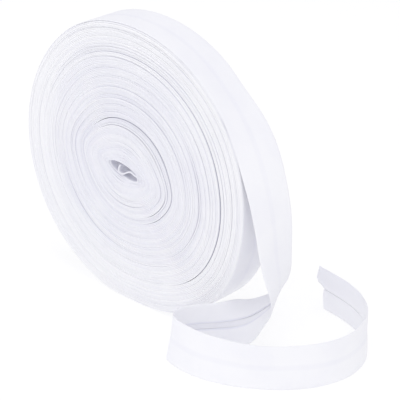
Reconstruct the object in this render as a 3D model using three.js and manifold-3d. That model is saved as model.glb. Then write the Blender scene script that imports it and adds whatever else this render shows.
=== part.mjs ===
// Roll of single-fold bias tape, standing on its rim, its loose end pulled off and curled round
// into a loop that stands on edge beside it. Millimetres, +Z up. X lies along the roll's faces,
// Y is the roll's axis, and the origin is the middle of the flat spot on which the roll stands.
import * as THREE from 'three';
import { mergeVertices } from 'three/addons/utils/BufferGeometryUtils.js';
import Module from 'manifold-3d';

const wasm = await Module();
wasm.setup();

// Driving dimensions
const TAPE_WIDTH = 25;
const SHEET_THICKNESS = 1;
const PIECE_GAP = 0.3;
const ROLL_RADIUS = 80.5;
const FLAT_SPOT_DEPTH = 0.5;
const RIM_ROUNDING = 0.6;

// The tape leaves the rim at this angle above the level, on the +X side
const LEAVING_ANGLE = THREE.MathUtils.degToRad(43);

// The roll isn't quite round: it swells out at these places on its rim, in degrees above the level
const SWELLINGS = [
  { angle: -44, spread: 27, height: 4 },
  { angle: 114, spread: 24, height: 1.4 },
];

// The flattened eye that the first turns go round, off the middle of the roll and tipped
const EYE = { x: -5, z: -2.7, halfLength: 10.6, halfHeight: 3, tip: -0.21 };

const CLOTH = { color: 0xf3f3f8, roughness: 0.9, metalness: 0 };

// How far the turns' edges stand proud of the tape's width, from the eye (0) to the rim (1)
const WINDING_ZONES = [
  { share: 0.0, front: -0.9, back: 0.5 },
  { share: 0.1, front: -0.3, back: 0.3 },
  { share: 0.28, front: 0.3, back: -0.2 },
  { share: 0.31, front: -0.3, back: -0.2 },
  { share: 0.36, front: 0.4, back: 0.1 },
  { share: 0.54, front: 0.1, back: 0.3 },
  { share: 0.56, front: -0.2, back: 0.1 },
  { share: 0.76, front: 0.2, back: 0.0 },
  { share: 0.78, front: -0.2, back: -0.2 },
  { share: 0.9, front: 0.1, back: 0.1 },
];

// The inner end of the tape, standing across the eye: places along the eye and up from its middle
const INNER_END = [
  { along: 8.5, up: 4.2 },
  { along: 5.5, up: 1.3 },
  { along: 1.0, up: -0.5 },
  { along: -2.4, up: -1.3 },
  { along: -2.9, up: 0.4 },
  { along: -2.2, up: 1.7 },
];

// Middle of the loose end, section by section from the rim to the cut end. The tape's width
// points towards the compass direction "across", in degrees from +X, and climbs by "rise"
// degrees. A section with no z stands on its edge on the ground.
const LOOSE_END = [
  { x: 68.3, y: 0, z: 123.9, across: 83, rise: 0 },
  { x: 78.5, y: 0, z: 107.4, across: 75, rise: 2 },
  { x: 85.4, y: 0, z: 89.0, across: 77, rise: 3 },
  { x: 89.9, y: 0, z: 70.4, across: 83, rise: 2 },
  { x: 92.3, y: 0, z: 51.4, across: 92, rise: 1 },
  { x: 94.1, y: 0.3, z: 38.5, across: 105, rise: 1 },
  { x: 92.4, y: -0.2, z: 29.6, across: 118, rise: 4 },
  { x: 86.3, y: -2.6, z: 21.8, across: 127, rise: 15 },
  { x: 79.8, y: -6.7, z: 16.0, across: 134, rise: 37 },
  { x: 73.2, y: -11.8, z: 13.3, across: 150, rise: 66 },
  { x: 67.2, y: -17.0, across: 137, rise: 82 },
  { x: 60.4, y: -25.4, across: 138, rise: 83 },
  { x: 56.0, y: -34.2, across: 100, rise: 87 },
  { x: 57.2, y: -42.0, across: 61, rise: 80 },
  { x: 66.0, y: -45.3, across: 90, rise: 80 },
  { x: 80.0, y: -45.6, across: 92, rise: 82 },
  { x: 96.0, y: -41.9, across: 110, rise: 86 },
  { x: 110.0, y: -35.2, across: 120, rise: 89 },
  { x: 122.0, y: -25.0, across: 135, rise: 89 },
  { x: 132.0, y: -11.5, across: 150, rise: 89 },
  { x: 136.6, y: 4.0, across: 180, rise: 89 },
  { x: 135.4, y: 15.5, across: 180, rise: 88 },
  { x: 130.5, y: 28.0, across: 210, rise: 88 },
  { x: 119.5, y: 39.6, across: 230, rise: 89 },
  { x: 105.0, y: 47.1, across: 250, rise: 89 },
  { x: 92.0, y: 50.4, across: 260, rise: 89 },
  { x: 81.0, y: 52.6, across: 260, rise: 89 },
];
const END_NOTCH = { depth: 2.6, width: 4.5 };

// How finely the shapes are faceted
const ROLL_STEPS = 120;
const TAPE_STEPS = 150;
const TAPE_WIDTH_STEPS = 4;
const INNER_END_STEPS = 18;

const STEP_HEIGHT = SHEET_THICKNESS + PIECE_GAP;
const STEP_ARC = PIECE_GAP / ROLL_RADIUS;

// Turns a closed geometry into a solid that can be joined and cut
function toSolid(geometry) {
  const bare = new THREE.BufferGeometry();
  bare.setAttribute('position', geometry.getAttribute('position').clone());
  bare.setIndex(geometry.getIndex().clone());
  const merged = mergeVertices(bare, 1e-4);
  return new wasm.Manifold(new wasm.Mesh({
    numProp: 3,
    vertProperties: new Float32Array(merged.getAttribute('position').array),
    triVerts: new Uint32Array(merged.getIndex().array),
  }));
}

// Turns a solid back into a geometry
function toGeometry(solid) {
  const { vertProperties, triVerts } = solid.getMesh();
  const geometry = new THREE.BufferGeometry();
  geometry.setAttribute('position', new THREE.BufferAttribute(vertProperties, 3));
  geometry.setIndex(new THREE.BufferAttribute(triVerts, 1));
  geometry.computeVertexNormals();
  return geometry;
}

// Moves every corner of a geometry to where the given function says
function bend(geometry, place) {
  const position = geometry.getAttribute('position');
  const corner = new THREE.Vector3();
  for (let i = 0; i < position.count; i += 1) {
    place(corner.fromBufferAttribute(position, i));
    position.setXYZ(i, corner.x, corner.y, corner.z);
  }
  return geometry;
}

// Share of a turn from the leaving angle, clockwise as seen from the front, to the given angle
function turnShare(angle) {
  return THREE.MathUtils.euclideanModulo(LEAVING_ANGLE - angle, 2 * Math.PI) / (2 * Math.PI);
}

// Radius of the rim: one turn of the tape is missing just past the place where the tape leaves
function rimRadius(angle, share) {
  const missing = share > 0 ? STEP_HEIGHT * (1 - share) : 0;
  return SWELLINGS.reduce((radius, { angle: middle, spread, height }) => {
    const turned = THREE.MathUtils.radToDeg(angle) - middle;
    const away = THREE.MathUtils.euclideanModulo(turned + 180, 360) - 180;
    return radius + height * Math.exp(-((away / spread) ** 2));
  }, ROLL_RADIUS - missing);
}

// Radius of the eye, a flat oval, at an angle from the level
function eyeRadius(angle) {
  const turned = angle - EYE.tip;
  const { halfLength: a, halfHeight: b } = EYE;
  return (a * b) / Math.hypot(b * Math.cos(turned), a * Math.sin(turned));
}

const ROLL_CENTRE = rimRadius(-Math.PI / 2, turnShare(-Math.PI / 2)) - FLAT_SPOT_DEPTH;

// Closed section of the roll: x is the share of the way from the eye to the rim
function rollSection() {
  const half = TAPE_WIDTH / 2;
  const rounding = RIM_ROUNDING / ROLL_RADIUS;
  const front = WINDING_ZONES.map((zone) => new THREE.Vector2(zone.share, -half - zone.front));
  const back = WINDING_ZONES.map((zone) => new THREE.Vector2(zone.share, half + zone.back));
  const rim = [
    new THREE.Vector2(1 - rounding, -half),
    new THREE.Vector2(1, -half + RIM_ROUNDING),
    new THREE.Vector2(1, half - RIM_ROUNDING),
    new THREE.Vector2(1 - rounding, half),
  ];
  return [...front, ...rim, ...back.reverse(), front[0].clone()];
}

// The wound roll: the section is turned about Y with its shares standing for radii, then each
// corner moves out to its place between the oval eye and the rim, and the bottom is pressed flat.
function woundRoll() {
  const start = Math.PI / 2 - LEAVING_ANGLE;
  const ring = new THREE.LatheGeometry(rollSection().map((p) => p.setX(p.x + 1)), ROLL_STEPS, start);
  const sweep = 2 * Math.PI - STEP_ARC;
  bend(ring, (corner) => {
    const outward = Math.hypot(corner.x, corner.z) - 1;
    const even = turnShare(Math.atan2(corner.z, corner.x));
    const column = Math.round(even * ROLL_STEPS) % ROLL_STEPS;
    const turned = column === 0 ? 0 : STEP_ARC + (sweep * (column - 1)) / (ROLL_STEPS - 1);
    const angle = LEAVING_ANGLE - turned;
    const inner = (1 - outward) * eyeRadius(angle);
    const outer = outward * rimRadius(angle, turned / (2 * Math.PI));
    const radius = inner + outer;
    corner.x = (1 - outward) * EYE.x + radius * Math.cos(angle);
    corner.z = Math.max(0, ROLL_CENTRE + (1 - outward) * EYE.z + radius * Math.sin(angle));
  });
  return toGeometry(toSolid(ring).add(toSolid(innerEnd())));
}

// The inner end of the tape: a thin wall through the eye, fast in the roll at one end
function innerEnd() {
  const points = INNER_END.map(({ along, up }) => new THREE.Vector3(
    EYE.x + along * Math.cos(EYE.tip) - up * Math.sin(EYE.tip),
    0,
    ROLL_CENTRE + EYE.z + along * Math.sin(EYE.tip) + up * Math.cos(EYE.tip),
  ));
  const route = new THREE.CatmullRomCurve3(points);
  const wall = new THREE.BoxGeometry(1, TAPE_WIDTH - 2, SHEET_THICKNESS, INNER_END_STEPS, 1, 1);
  return bend(wall, (corner) => {
    const at = THREE.MathUtils.clamp(corner.x + 0.5, 0, 1);
    const heading = route.getTangentAt(at);
    const side = new THREE.Vector3().crossVectors(heading, new THREE.Vector3(0, 1, 0));
    const y = corner.y;
    const across = corner.z;
    corner.copy(route.getPointAt(at)).addScaledVector(side, across);
    corner.y = y;
  });
}

// Direction of the tape's width at a section
function widthDirection({ across, rise }) {
  const compass = THREE.MathUtils.degToRad(across);
  const climb = THREE.MathUtils.degToRad(rise);
  const level = Math.cos(climb);
  return new THREE.Vector3(level * Math.cos(compass), level * Math.sin(compass), Math.sin(climb));
}

// The section where the loose end starts, a gap above the turn below it and past the step
function leavingSection() {
  const radius = ROLL_RADIUS - SHEET_THICKNESS / 2;
  const angle = LEAVING_ANGLE - STEP_ARC - PIECE_GAP / radius;
  const x = radius * Math.cos(angle);
  return { x, y: 0, z: ROLL_CENTRE + radius * Math.sin(angle), across: 90, rise: 0 };
}

// Route of the loose end's middle and the way its width points, from 0 to 1 along it
function looseEndRoute() {
  const sections = [leavingSection(), ...LOOSE_END];
  const widths = sections.map(widthDirection);
  const middles = sections.map((section, i) => {
    const standing = (TAPE_WIDTH / 2) * widths[i].z + (SHEET_THICKNESS / 2) * Math.hypot(widths[i].x, widths[i].y);
    return new THREE.Vector3(section.x, section.y, section.z ?? standing);
  });
  const middle = new THREE.CatmullRomCurve3(middles);
  const width = new THREE.CatmullRomCurve3(widths);
  middle.arcLengthDivisions = 1200;
  return (at) => {
    const share = middle.getUtoTmapping(at);
    const heading = middle.getTangent(share);
    const across = width.getPoint(share);
    across.addScaledVector(heading, -across.dot(heading)).normalize();
    const outward = new THREE.Vector3().crossVectors(heading, across);
    return { length: middle.getLength(), point: middle.getPoint(share), heading, across, outward };
  };
}

// The loose end: a flat strip laid along the route, with a small notch in its cut end
function looseEnd() {
  const route = looseEndRoute();
  const strip = new THREE.BoxGeometry(
    1, TAPE_WIDTH, SHEET_THICKNESS, TAPE_STEPS, TAPE_WIDTH_STEPS, 1,
  );
  bend(strip, (corner) => {
    const { point, across, outward } = route(THREE.MathUtils.clamp(corner.x + 0.5, 0, 1));
    const { y, z } = corner;
    corner.copy(point).addScaledVector(across, y).addScaledVector(outward, z);
    corner.z = Math.max(0, corner.z);
  });
  const end = route(1);
  const cutter = new THREE.BoxGeometry(2 * END_NOTCH.depth, END_NOTCH.width, 6 * SHEET_THICKNESS);
  const placed = new THREE.Matrix4().makeBasis(end.heading, end.across, end.outward);
  cutter.applyMatrix4(placed.setPosition(end.point));
  return toGeometry(toSolid(strip).subtract(toSolid(cutter)));
}

function piece(name, geometry) {
  const mesh = new THREE.Mesh(geometry, new THREE.MeshStandardMaterial(CLOTH));
  mesh.name = name;
  return mesh;
}

const rollOfTape = new THREE.Group();
rollOfTape.add(piece('wound_roll', woundRoll()));
rollOfTape.add(piece('loose_end', looseEnd()));

export default rollOfTape;
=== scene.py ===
"""Roll of white bias tape, standing on its rim, with its loose end curled into a loop beside it."""
import math

import bmesh
import bpy
import numpy as np
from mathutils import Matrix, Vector, noise


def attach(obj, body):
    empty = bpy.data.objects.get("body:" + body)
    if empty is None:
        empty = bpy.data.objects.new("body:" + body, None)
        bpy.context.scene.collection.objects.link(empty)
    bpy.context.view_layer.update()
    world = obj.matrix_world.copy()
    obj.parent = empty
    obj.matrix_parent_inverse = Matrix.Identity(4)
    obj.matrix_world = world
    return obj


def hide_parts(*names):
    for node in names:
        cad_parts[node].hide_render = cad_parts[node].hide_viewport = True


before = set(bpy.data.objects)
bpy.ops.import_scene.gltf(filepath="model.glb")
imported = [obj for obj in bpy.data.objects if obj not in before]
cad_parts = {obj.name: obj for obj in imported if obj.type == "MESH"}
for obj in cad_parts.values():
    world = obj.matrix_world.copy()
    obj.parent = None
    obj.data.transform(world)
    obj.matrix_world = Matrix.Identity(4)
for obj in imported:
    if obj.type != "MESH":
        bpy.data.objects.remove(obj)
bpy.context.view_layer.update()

# The wound turns: some 25 m of white cotton tape, its two raw edges pressed in so that it is
# 25 mm wide, wound on itself with no core. The first turns lie flat round a narrow eye, with
# the tape's inner end standing across it, and the winding is a little uneven and slack.
TAPE_WIDTH = 0.025
TURNS = 92
ROLL_RADIUS = 0.0805
ROLL_CENTRE = 0.0795
LEAVING_ANGLE = math.radians(43)
JOINT_ANGLE = math.radians(7)
EYE = {"x": -0.005, "z": -0.0027, "half_length": 0.0113, "half_height": 0.0038, "tip": -0.21}
STATIONS_A_TURN = 144
FILLING = 0.995
PRESSED_SHARE = 0.9
WOBBLE_SHARE = 0.02
WOBBLE_AROUND = 2.0
WOBBLE_A_TURN = 2.3

# Where the rim swells out: degrees above the level, spread in degrees, height
SWELLINGS = (
    (-44, 27, 0.004),
    (114, 24, 0.0014),
)

# Slack places: share of the way from eye to rim, degrees above the level, spread, width
SLACK_PLACES = (
    (0.06, 20, 35, 0.0003),
    (0.18, 20, 36, 0.0003),
    (0.240, 20, 40, 0.0006),
    (0.288, 32, 60, 0.0014),
    (0.335, 40, 72, 0.0012),
    (0.47, 15, 36, 0.0003),
    (0.595, 0, 34, 0.0006),
    (0.628, 80, 30, 0.0002),
    (0.70, 30, 36, 0.0003),
    (0.79, 0, 50, 0.0007),
    (0.825, 12, 40, 0.0006),
    (0.885, 15, 40, 0.0005),
    (0.94, 15, 40, 0.0005),
)

# How far the turns' front edges stand proud, from the eye (0) to the rim (1), and how far groups
# of turns and single turns stray from that
EDGE_SHIFTS = (
    (0.0, -0.0009),
    (0.1, -0.0003),
    (0.28, 0.0003),
    (0.31, -0.0003),
    (0.36, 0.0004),
    (0.54, 0.0001),
    (0.56, -0.0002),
    (0.76, 0.0002),
    (0.78, -0.0002),
    (0.9, 0.0001),
    (1.0, 0.0),
)
GROUP_SHIFT = 0.0007
GROUP_BEAT = 0.47
TURN_SHIFT = 0.0005
TURN_BEAT = 1.7
TURN_START = 300
SHIFT_AROUND = 0.5

# The inner end across the eye: along the eye and up from its middle
INNER_END = (
    (-0.0030, 0.0024),
    (-0.0037, 0.0004),
    (-0.0031, -0.0019),
    (-0.0006, -0.0019),
    (0.0024, 0.0004),
    (0.0052, 0.0020),
    (0.0080, 0.0016),
)
INNER_END_JOINS = 0.13
INNER_END_STEP = 0.0006
JOINED_STATIONS = 9

# Section of one turn, as shares of its half width and half thickness
TURN_SECTION = (
    (-1.0, 0.0),
    (-0.98, -1.0),
    (0.98, -1.0),
    (1.0, 0.0),
    (0.98, 1.0),
    (-0.98, 1.0),
)


def swell(degrees, middle, spread):
    """1 at the middle of a place on the rim, falling away to 0 on either side."""
    away = (degrees - middle + 180) % 360 - 180
    return math.exp(-((away / spread) ** 2))


def turn_angle(wound):
    """Angle above the level reached after so many turns; the tape is wound clockwise."""
    return LEAVING_ANGLE + 2 * math.pi * (TURNS - wound)


def winding_at(angle):
    """Radius of the eye and of the rim at an angle from the level, and the step from turn to turn."""
    turned = angle - EYE["tip"]
    flat, tall = EYE["half_length"], EYE["half_height"]
    eye = flat * tall / math.hypot(tall * math.cos(turned), flat * math.sin(turned))
    rim = ROLL_RADIUS + sum(
        height * swell(math.degrees(angle), middle, spread) for middle, spread, height in SWELLINGS
    )
    return eye, rim, (rim - eye) / TURNS


def turn_place(wound):
    """Middle of the tape after so many turns: x, z and half its thickness there."""
    angle = turn_angle(wound)
    degrees = math.degrees(angle)
    share = wound / TURNS
    eye, rim, pitch = winding_at(angle)
    radius = eye + share * (rim - eye) - pitch / 2
    for at, middle, spread, width in SLACK_PLACES:
        behind = ((math.radians(middle) + math.pi - LEAVING_ANGLE) / (2 * math.pi)) % 1
        parting = math.floor(at * TURNS) + 1 - behind
        side = (1 - share) / (1 - at) if wound > parting else -share / at
        radius += width / 2 * side * swell(degrees, middle, spread)
    around = WOBBLE_AROUND * Vector((math.cos(angle), math.sin(angle), 0.0))
    wobble = noise.noise(around + Vector((0.0, 0.0, wound * WOBBLE_A_TURN)))
    radius += WOBBLE_SHARE * pitch * wobble
    x = (1 - share) * EYE["x"] + radius * math.cos(angle)
    z = ROLL_CENTRE + (1 - share) * EYE["z"] + radius * math.sin(angle)
    pressed = (TURNS - wound + 0.5) * FILLING * pitch * PRESSED_SHARE
    return x, max(z, pressed), FILLING * pitch / 2


FINE_STEPS_A_ROW = 40
MERGED_WITHIN = 1e-7


def smooth_line(rows, step):
    """Even stations about a step apart on the smooth curve through the rows (x, y, z and more)."""
    rows = np.array(rows, float)
    spans = np.linalg.norm(np.diff(rows[:, :3], axis=0), axis=1)
    knots = np.concatenate([[0], np.cumsum(spans)])
    count = len(rows)
    system = np.eye(count)
    pull = np.zeros_like(rows)
    for i in range(1, count - 1):
        system[i, i - 1 : i + 2] = spans[i - 1], 2 * (spans[i - 1] + spans[i]), spans[i]
        pull[i] = 6 * ((rows[i + 1] - rows[i]) / spans[i] - (rows[i] - rows[i - 1]) / spans[i - 1])
    bend = np.linalg.solve(system, pull)

    def at(places):
        i = np.clip(np.searchsorted(knots, places, "right") - 1, 0, count - 2)
        after = ((places - knots[i]) / spans[i])[:, None]
        before = 1 - after
        curve = (before**3 - before) * bend[i] + (after**3 - after) * bend[i + 1]
        return before * rows[i] + after * rows[i + 1] + curve * (spans[i] ** 2)[:, None] / 6

    fine = np.linspace(0, knots[-1], FINE_STEPS_A_ROW * count)
    run = np.concatenate([[0], np.cumsum(np.linalg.norm(np.diff(at(fine)[:, :3], axis=0), axis=1))])
    even = np.linspace(0, run[-1], max(2, round(run[-1] / step) + 1))
    return at(np.interp(even, run, fine)), run[-1]


def lay_strip(name, stations, around, place, cloth_at, reach=None):
    """Lays a closed strip: a flat grid, rolled into a sleeve of so many stations, closed at its ends.

    place(i, j) is where corner j of station i goes, cloth_at(i, j) its place on the flat cloth, and
    reach(i, j) moves it once the ends are closed, where an end isn't cut square.
    """
    shape = bmesh.new()
    bmesh.ops.create_grid(shape, x_segments=stations - 1, y_segments=around, size=1)
    cloth = shape.loops.layers.uv.new("cloth")
    corners = {}
    for vert in shape.verts:
        i = round((vert.co.x + 1) / 2 * (stations - 1))
        j = round((vert.co.y + 1) / 2 * around)
        corners[vert] = (i, j)
    for face in shape.faces:
        face.smooth = True
        for loop in face.loops:
            loop[cloth].uv = cloth_at(*corners[loop.vert])
    for vert, (i, j) in corners.items():
        vert.co = place(i, j % around)
    bmesh.ops.remove_doubles(shape, verts=shape.verts, dist=MERGED_WITHIN)
    open_edges = [edge for edge in shape.edges if edge.is_boundary]
    for edge in open_edges:
        edge.smooth = False
    ends = bmesh.ops.holes_fill(shape, edges=open_edges, sides=0)["faces"]
    bmesh.ops.triangulate(shape, faces=ends)
    if reach:
        for vert in shape.verts:
            i, j = corners[vert]
            vert.co += reach(i, j % around)
    bmesh.ops.recalc_face_normals(shape, faces=shape.faces)
    mesh = bpy.data.meshes.new(name)
    shape.to_mesh(mesh)
    shape.free()
    strip = bpy.data.objects.new(name, mesh)
    bpy.context.scene.collection.objects.link(strip)
    return strip


class Tone:
    """A socket of a material's nodes: arithmetic on it adds Math nodes."""

    def __init__(self, tree, socket=None):
        self.tree = tree
        self.socket = socket

    def node(self, kind, settings, sockets, output=0):
        """Adds any node, sets it, fills or links its sockets, and gives one of its outputs."""
        made = self.tree.nodes.new(kind)
        for name, value in settings.items():
            setattr(made, name, value)
        for name, value in sockets.items():
            if isinstance(value, Tone):
                self.tree.links.new(value.socket, made.inputs[name])
            else:
                made.inputs[name].default_value = value
        return Tone(self.tree, made.outputs[output])

    def math(self, operation, *values):
        return self.node("ShaderNodeMath", {"operation": operation}, dict(enumerate((self, *values))))

    def __add__(self, other):
        return self.math("ADD", other)

    __radd__ = __add__

    def __sub__(self, other):
        return self.math("SUBTRACT", other)

    def __rsub__(self, other):
        return self * -1 + other

    def __mul__(self, other):
        return self.math("MULTIPLY", other)

    __rmul__ = __mul__

    def fade(self, low, high, at_low, at_high):
        """Goes smoothly from one value to another as this one goes from low to high."""
        sockets = {"Value": self, "From Min": low, "From Max": high, "To Min": at_low, "To Max": at_high}
        return self.node("ShaderNodeMapRange", {"interpolation_type": "SMOOTHSTEP"}, sockets)


CUT_WIDTH = 0.047
THREAD = 0.00036
# The cloth's white; the tone its random variation and its painted shade mix toward; and the painted
# shade laid into the wound tape's gaps and eye
CLOTH_WHITE = (0.945, 0.945, 0.97, 1)
CLOTH_SHADE = (0.84, 0.84, 0.915, 1)
CLOTH_PAINTED_SHADE = (0.50, 0.50, 0.60, 1)
THREAD_CROWN = 0.6
THREAD_DIP = 0.4
CLOUD_SCALE = 45.0
CLOUD_RANGE = (0.35, 0.7)
LENGTH_SCALE = 2.0
LENGTH_RANGE = (0.35, 0.65)
LINT_SCALE = 900.0
LINT_HEIGHT = 0.5
WEAVE_HEIGHT = 0.6
ROUGHNESS = 0.85
ROUGHNESS_SPREAD = 0.1
SHADES = {"clouds": 0.25, "lengths": 0.35, "single": 0.22, "weave": 0.12, "painted_edge_shadow": 0.9}
SINGLE_AND_GAP_SHADE_BAND = (0.0006, 0.0022)
PAINTED_EDGE_SHADOW_BAND = (0.0004, 0.0014)

# The wound tape's painted shade, darker on its inner turns and paler on its outer ones, and where
# along it that changes; how far in from its fold painted shade darkens the cloth in the gaps of the
# turns and where it grows pale again; and where the first turn, open to the eye, ends, and the share
# of that painted shade it keeps there
WOUND_PAINTED_SHADE = (0.2, -0.25)
WOUND_PAINTED_SHADE_RUN = (5.0, 20.0)
PAINTED_SHADE_FROM = (0.0002, 0.0014)
PAINTED_SHADE_UNTIL = (0.0020, 0.0050)
EYE_RUN = (0.07, 0.09)
EYE_PAINTED_SHADE = 0.5


def bias_cloth(name, edges_close=None):
    """Plain-weave white cotton with its threads at 45 degrees to the tape, a little shaded.

    Where the tape is wound, painted shade darkens its cloth away from the fold, in the gaps of the
    turns and in the eye, and darkens its inner turns. Where it is loose, painted shadow darkens its raw
    edges, and edges_close is the run along it over which they come together and that shadow fades out.
    """
    material = bpy.data.materials.new(name)
    material.use_nodes = True
    tree = material.node_tree
    shader = tree.nodes["Principled BSDF"]
    start = Tone(tree)
    flat = start.node("ShaderNodeUVMap", {"uv_map": "cloth"}, {})
    along = start.node("ShaderNodeSeparateXYZ", {}, {0: flat}, "X")
    cut = start.node("ShaderNodeSeparateXYZ", {}, {0: flat}, "Y")

    # Warp and weft run both ways across the tape, each over and under the other
    turn = math.pi * math.sqrt(0.5) / THREAD
    warp = ((along + cut) * turn).math("SINE")
    weft = ((along - cut) * turn).math("SINE")
    over = warp * weft * THREAD_DIP
    warp_height = warp.math("ABSOLUTE") * (over + THREAD_CROWN)
    weft_height = weft.math("ABSOLUTE") * (THREAD_CROWN - over)
    weave = warp_height.math("MAXIMUM", weft_height)

    # The cloth is a little darker in a soft band where it lies one layer thick, under the gap of the
    # turned-in edges; on the inner face, in that gap, the band is also painted shade
    middle = (cut - CUT_WIDTH / 2).math("ABSOLUTE")
    single = middle.fade(*SINGLE_AND_GAP_SHADE_BAND, SHADES["single"], 0.0)
    place = start.node("ShaderNodeTexCoord", {}, {}, "Object")
    clouds = start.node("ShaderNodeTexNoise", {}, {"Vector": place, "Scale": CLOUD_SCALE, "Detail": 3.0})
    run = {"W": along, "Scale": LENGTH_SCALE}
    lengths = start.node("ShaderNodeTexNoise", {"noise_dimensions": "1D"}, run)
    lint = start.node("ShaderNodeTexNoise", {}, {"Vector": place, "Scale": LINT_SCALE, "Detail": 2.0})
    shade = clouds.fade(*CLOUD_RANGE, 0.0, SHADES["clouds"])
    shade = shade + lengths.fade(*LENGTH_RANGE, 0.0, SHADES["lengths"])
    # Painted shade: the colour is darker in the dips of the weave
    shade = shade + single + (1 - weave) * SHADES["weave"]
    if edges_close:
        # Painted shadow: a dark line along the loose tape's raw edges, fading out where the edges close
        # near the cut end
        from_cut = CUT_WIDTH / 2 - middle
        painted_edge_shadow = from_cut.fade(*PAINTED_EDGE_SHADOW_BAND, SHADES["painted_edge_shadow"], 0.0)
        shade = shade + painted_edge_shadow * along.fade(*edges_close, 1.0, 0.0)
    else:
        # Painted shade along the wound tape: its inner turns darker, its outer turns paler
        shade = shade + along.fade(*WOUND_PAINTED_SHADE_RUN, *WOUND_PAINTED_SHADE)
    colour = start.node(
        "ShaderNodeMix",
        {"data_type": "RGBA", "clamp_factor": True},
        {"Factor": shade, 6: CLOTH_WHITE, 7: CLOTH_SHADE},
        2,
    )
    # Painted shade in the gaps of the wound turns and in the eye, half as strong on the first turn
    if not edges_close:
        from_fold = TAPE_WIDTH / 2 - middle
        painted_gap_shade = from_fold.fade(*PAINTED_SHADE_FROM, 0.0, 1.0) - from_fold.fade(*PAINTED_SHADE_UNTIL, 0.0, 1.0)
        painted_gap_shade = painted_gap_shade * along.fade(*EYE_RUN, EYE_PAINTED_SHADE, 1.0)
        colour = start.node(
            "ShaderNodeMix",
            {"data_type": "RGBA", "clamp_factor": True},
            {"Factor": painted_gap_shade, 6: colour, 7: CLOTH_PAINTED_SHADE},
            2,
        )
    tree.links.new(colour.socket, shader.inputs["Base Color"])
    roughness = clouds * ROUGHNESS_SPREAD + ROUGHNESS
    tree.links.new(roughness.socket, shader.inputs["Roughness"])
    height = weave * WEAVE_HEIGHT + lint * LINT_HEIGHT
    bump = start.node("ShaderNodeBump", {}, {"Height": height, "Strength": 0.25, "Distance": 0.0001})
    tree.links.new(bump.socket, shader.inputs["Normal"])
    shader.inputs["Sheen Weight"].default_value = 0.2
    shader.inputs["Sheen Roughness"].default_value = 0.6
    shader.inputs["Specular IOR Level"].default_value = 0.25
    return material


wound_cloth = bias_cloth("wound_cloth")

shares, shifts = zip(*EDGE_SHIFTS)
last_wound = TURNS - 1 + JOINT_ANGLE / (2 * math.pi)
wound_at = np.arange(INNER_END_JOINS, last_wound, 1 / STATIONS_A_TURN)
wound_at[-1] = last_wound
turn_places = np.array([turn_place(wound) for wound in wound_at])

# The inner end runs smoothly into the first turn
eye_cos, eye_sin = math.cos(EYE["tip"]), math.sin(EYE["tip"])
inner_rows = [
    (
        EYE["x"] + along * eye_cos - up * eye_sin,
        0.0,
        ROLL_CENTRE + EYE["z"] + along * eye_sin + up * eye_cos,
    )
    for along, up in INNER_END
]
inner_rows += [(x, 0.0, z) for x, z, _ in turn_places[: JOINED_STATIONS : JOINED_STATIONS // 2]]
inner_line, _ = smooth_line(inner_rows, INNER_END_STEP)
inner_steps = len(inner_line)
thin = turn_places[0, 2]
line = np.concatenate([
    np.column_stack([inner_line[:, 0], inner_line[:, 2], np.full(inner_steps, thin)]),
    turn_places[JOINED_STATIONS:],
])
line_wound = np.concatenate([np.full(inner_steps, INNER_END_JOINS), wound_at[JOINED_STATIONS:]])
line_run = np.concatenate([[0], np.cumsum(np.hypot(*np.diff(line[:, :2], axis=0).T))])
heading = np.gradient(line[:, :2], axis=0)
heading /= np.linalg.norm(heading, axis=1)[:, None]
line_outward = np.column_stack([-heading[:, 1], heading[:, 0]])
line_shift = np.interp(line_wound / TURNS, shares, shifts)
for i, wound in enumerate(line_wound):
    angle = turn_angle(wound)
    around = SHIFT_AROUND * Vector((math.cos(angle), math.sin(angle), 0.0))
    line_shift[i] += GROUP_SHIFT * noise.noise(around + Vector((0, 0, wound * GROUP_BEAT)))
    line_shift[i] += TURN_SHIFT * noise.noise(around + Vector((0, 0, wound * TURN_BEAT + TURN_START)))


def turn_corner(i, j):
    across, through = TURN_SECTION[j]
    out = line_outward[i] * through * line[i, 2]
    y = across * TAPE_WIDTH / 2 - line_shift[i]
    return Vector((line[i, 0] + out[0], y, max(line[i, 1] + out[1], 0.0)))


def turn_cloth(i, j):
    across, _ = TURN_SECTION[j % len(TURN_SECTION)]
    return line_run[i], CUT_WIDTH / 2 + across * TAPE_WIDTH / 2


wound_turns = lay_strip("wound_turns", len(line), len(TURN_SECTION), turn_corner, turn_cloth)
wound_turns.data.materials.append(wound_cloth)
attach(wound_turns, "root")
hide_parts("wound_roll")

# The last turn and the loose end: the same tape, pulled off the rim. It hangs down the roll's
# side, turns over in a soft diagonal fold, and its loop stands on edge as far as the cut end.
# Its raw edges are pressed in behind it, with a gap between them that closes near the cut end.
STATION_STEP = 0.0016
LAST_TURN_ROWS = 34
JOINT_GAP = 0.0001
SETTLING_TURNS = 0.25

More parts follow.
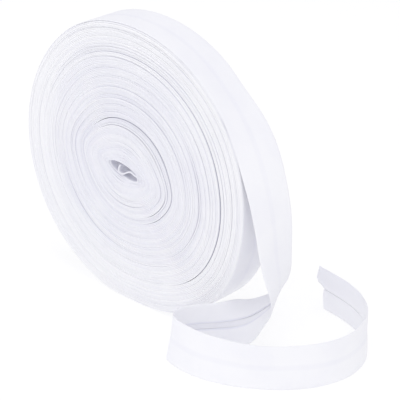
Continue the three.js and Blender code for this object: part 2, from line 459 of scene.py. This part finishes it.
# Middle of the loose end in millimetres, from the rim to the cut end. Its width points to the
# compass direction "across", degrees from +X, and climbs by "rise" degrees. A section with no z
# stands on its edge.
LOOSE_END = (
    # x, y, z, across, rise
    (68.3, 0, 123.9, 83, 0),
    (78.5, 0, 107.4, 75, 2),
    (85.4, 0, 89.0, 77, 3),
    (89.9, 0, 70.4, 83, 2),
    (92.3, 0, 51.4, 92, 1),
    (94.1, 0.3, 38.5, 105, 1),
    (92.4, -0.2, 29.6, 118, 4),
    (86.3, -2.6, 21.8, 127, 15),
    (79.8, -6.7, 16.0, 134, 37),
    (73.2, -11.8, 13.3, 150, 66),
    (67.2, -17.0, None, 137, 82),
    (60.4, -25.4, None, 138, 83),
    (56.0, -34.2, None, 100, 87),
    (57.2, -42.0, None, 61, 80),
    (66.0, -45.3, None, 90, 80),
    (80.0, -45.6, None, 92, 82),
    (96.0, -41.9, None, 110, 86),
    (110.0, -35.2, None, 120, 89),
    (122.0, -25.0, None, 135, 89),
    (132.0, -11.5, None, 150, 89),
    (136.6, 4.0, None, 180, 89),
    (135.4, 15.5, None, 180, 88),
    (130.5, 28.0, None, 210, 88),
    (119.5, 39.6, None, 230, 89),
    (105.0, 47.1, None, 250, 89),
    (92.0, 50.4, None, 260, 89),
    (80.5, 52.7, None, 260, 89),
)

# Half of the folded section, in millimetres from the middle: across and out from the middle
# layer, along the outer face, round the fold, and along the turned-in edge to where it is cut
HALF_SECTION = (
    (0.0, 0.27),
    (1.1, 0.28),
    (2.0, 0.335),
    (4.5, 0.35),
    (8.0, 0.35),
    (11.3, 0.34),
    (12.2, 0.29),
    (12.5, 0.03),
    (12.2, -0.24),
    (11.3, -0.31),
    (8.0, -0.32),
    (4.5, -0.35),
    (1.9, -0.44),
    (1.5, -0.42),
    (1.5, -0.12),
    (4.5, -0.04),
    (8.0, -0.02),
    (11.6, 0.0),
    (12.1, 0.015),
    (11.6, 0.03),
    (8.0, 0.05),
    (4.5, 0.05),
    (1.5, 0.03),
)
INNER_MIDDLE = (0.0, 0.03)
CORNERS_TO_RAW_EDGE = 14
MILLIMETRE = 0.001

# How far the uneven cut end reaches at each height across the tape, both in millimetres
CUT_END = (
    (-12.5, -3.7),
    (-2.0, -2.3),
    (-1.1, -3.0),
    (0.0, -3.8),
    (1.1, -2.5),
    (2.0, 2.2),
    (3.0, 3.2),
    (12.5, 0.7),
)
CUT_END_STATIONS = 6
FOLDED_HALF = 0.00034
RIPPLE = 0.0005
RIPPLE_ALONG = 45
RIPPLE_ACROSS = 60
FREE_RUN = 0.04

# The raw edges: how near the middle and how far behind it they lie, how far they move to meet,
# and how far from the cut end they begin to and over what run
RAW_EDGE_REACH = 0.002
RAW_EDGE_DEPTH = 0.0001
RAW_EDGE_MOVE = 0.00142
CLOSED_RUN = 0.085
CLOSING_RUN = 0.025

end_rows = []
first = last_wound + JOINT_GAP
for wound in np.linspace(first, TURNS, LAST_TURN_ROWS):
    x, z, half = turn_place(wound)
    inward = half - FOLDED_HALF
    x -= inward * math.cos(turn_angle(wound))
    z -= inward * math.sin(turn_angle(wound))
    settling = max(0.0, 1 - (wound - first) / SETTLING_TURNS)
    end_rows.append((x, -settling * line_shift[-1], z, 0.0, 1.0, 0.0))
for x, y, z, across, rise in LOOSE_END:
    compass, climb = math.radians(across), math.radians(rise)
    level = math.cos(climb)
    width = (level * math.cos(compass), level * math.sin(compass), math.sin(climb))
    standing = TAPE_WIDTH / 2 * width[2]
    height = standing if z is None else z * MILLIMETRE
    end_rows.append((x * MILLIMETRE, y * MILLIMETRE, height, *width))
end_line, end_length = smooth_line(end_rows, STATION_STEP)
end_middle = end_line[:, :3]
end_heading = np.gradient(end_middle, axis=0)
end_heading /= np.linalg.norm(end_heading, axis=1)[:, None]
end_across = end_line[:, 3:]
end_across -= (end_across * end_heading).sum(axis=1)[:, None] * end_heading
end_across /= np.linalg.norm(end_across, axis=1)[:, None]
end_out = np.cross(end_heading, end_across)

# The whole folded section, one side after the other, and each corner's place on the flat cloth
right_half = np.array(HALF_SECTION) * MILLIMETRE
left_half = right_half[1:][::-1] * (-1, 1)
inner_middle = np.array([INNER_MIDDLE]) * MILLIMETRE
folded = np.concatenate([right_half, inner_middle, left_half])
outer_run = np.concatenate([[0], np.cumsum(np.linalg.norm(np.diff(right_half, axis=0), axis=1))])
outer_edge = outer_run[CORNERS_TO_RAW_EDGE - 1]


def cloth_across(j):
    """Place of a section's corner across the flat cloth."""
    j = j % len(folded)
    mirrored = j > len(right_half)
    k = len(folded) - j if mirrored else j
    if k >= len(right_half):
        return CUT_WIDTH / 2
    run = outer_run[k] if k < CORNERS_TO_RAW_EDGE else 2 * outer_edge - outer_run[k]
    run = max(0.0, run) / outer_edge * CUT_WIDTH / 2
    return CUT_WIDTH / 2 + (-run if mirrored else run)


cut_across, cut_reach = zip(*CUT_END)
on_the_rim = 2 * math.pi * ROLL_RADIUS


def end_section(run, j):
    """A corner of the folded section: near the cut end the two raw edges lie close together."""
    across, out = folded[j]
    closing = min(1.0, max(0.0, (run - end_length + CLOSED_RUN) / CLOSING_RUN))
    if abs(across) < RAW_EDGE_REACH and out < -RAW_EDGE_DEPTH:
        across -= math.copysign(RAW_EDGE_MOVE * closing, across)
        out += (max(out, -FOLDED_HALF) - out) * closing
    return across, out


def end_corner(i, j):
    run = i / (len(end_middle) - 1) * end_length
    across, out = end_section(run, j)
    ripple = RIPPLE * noise.noise(Vector((run * RIPPLE_ALONG, across * RIPPLE_ACROSS, 0.0)))
    ripple *= min(1.0, max(0.0, run - on_the_rim) / FREE_RUN)
    point = end_middle[i] + across * end_across[i] + (out + ripple) * end_out[i]
    return Vector((point[0], point[1], max(point[2], 0.0)))


def end_reach(i, j):
    near_end = max(0, i - len(end_middle) + 1 + CUT_END_STATIONS) / CUT_END_STATIONS
    across, _ = end_section(i / (len(end_middle) - 1) * end_length, j)
    reach = np.interp(across / MILLIMETRE, cut_across, cut_reach) * MILLIMETRE
    return Vector(near_end * reach * end_heading[i])


def end_cloth(i, j):
    return line_run[-1] + i / (len(end_middle) - 1) * end_length, cloth_across(j)


loose_tape = lay_strip("loose_tape", len(end_middle), len(folded), end_corner, end_cloth, end_reach)
edges_apart = float(line_run[-1] + end_length - CLOSED_RUN)
loose_cloth = bias_cloth("loose_cloth", (edges_apart, edges_apart + CLOSING_RUN))
loose_tape.data.materials.append(loose_cloth)
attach(loose_tape, "root")
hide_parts("loose_end")

# The floor: a wide plain sheet, lit a little from behind so that it is white all over, as in a
# photograph of goods on white.
FLOOR_HALF = 3.0
FLOOR_PALE = (0.5, 0.5, 0.5, 1)
FLOOR_WHITE = (1.0, 1.0, 1.0, 1)
FLOOR_GLOW = 0.54
floor_shape = bmesh.new()
bmesh.ops.create_grid(floor_shape, x_segments=1, y_segments=1, size=FLOOR_HALF)
floor_mesh = bpy.data.meshes.new("floor")
floor_shape.to_mesh(floor_mesh)
floor_shape.free()
floor = bpy.data.objects.new("floor", floor_mesh)
bpy.context.scene.collection.objects.link(floor)
floor_paint = bpy.data.materials.new("white_floor")
floor_paint.use_nodes = True
floor_shader = floor_paint.node_tree.nodes["Principled BSDF"]
floor_shader.inputs["Base Color"].default_value = FLOOR_PALE
floor_shader.inputs["Roughness"].default_value = 1.0
floor_shader.inputs["Specular IOR Level"].default_value = 0.0
floor_shader.inputs["Emission Color"].default_value = FLOOR_WHITE
floor_shader.inputs["Emission Strength"].default_value = FLOOR_GLOW
floor.data.materials.append(floor_paint)

# Soft light: a bright white surround, with large lamps above, in front and on the right
SURROUND = (0.98, 0.98, 1.0, 1)
SURROUND_STRENGTH = 0.79
LAMP_AIM = Vector((0.02, 0, 0.07))
world = bpy.data.worlds.new("surround")
world.use_nodes = True
world.node_tree.nodes["Background"].inputs["Color"].default_value = SURROUND
world.node_tree.nodes["Background"].inputs["Strength"].default_value = SURROUND_STRENGTH
bpy.context.scene.world = world
LAMPS = (
    # name, place, size, power
    ("top_lamp", (0.1, -0.2, 1.8), 1.4, 5.4),
    ("front_lamp", (-0.7, -0.8, 0.6), 0.7, 0.7),
    ("fill_lamp", (0.35, -1.2, 0.4), 0.7, 1.0),
    ("right_lamp", (1.2, -0.3, 1.1), 1.0, 1.6),
)
for name, place, size, power in LAMPS:
    lamp = bpy.data.lights.new(name, "AREA")
    lamp.size = size
    lamp.energy = power
    holder = bpy.data.objects.new(name, lamp)
    holder.location = place
    aim = LAMP_AIM - Vector(place)
    holder.rotation_euler = aim.to_track_quat("-Z", "Y").to_euler()
    bpy.context.scene.collection.objects.link(holder)

# The camera: at the photograph's angle, a little above, seeing the roll's front and its rim.
AZIMUTH = math.radians(42.43)
ELEVATION = math.radians(24.95)
DISTANCE = 0.8014
FOCAL_SHARE = 3.7296
AIM_RIGHT = 0.0292
AIM_DOWN = 0.0206
SENSOR = 36.0
ROLL_MIDDLE = Vector((0, 0, 0.08014))
right = Vector((math.cos(AZIMUTH), math.sin(AZIMUTH), 0))
forward = Vector((-math.sin(AZIMUTH), math.cos(AZIMUTH), 0))
ahead = forward * math.cos(ELEVATION) - Vector((0, 0, math.sin(ELEVATION)))
upward = right.cross(ahead)
camera_data = bpy.data.cameras.new("camera")
camera_data.sensor_width = SENSOR
camera_data.lens = FOCAL_SHARE * SENSOR
camera = bpy.data.objects.new("camera", camera_data)
camera.location = ROLL_MIDDLE + right * AIM_RIGHT - upward * AIM_DOWN - ahead * DISTANCE
camera.rotation_euler = ahead.to_track_quat("-Z", "Y").to_euler()
bpy.context.scene.collection.objects.link(camera)
bpy.context.scene.camera = camera
bpy.context.scene.view_settings.view_transform = "Standard"
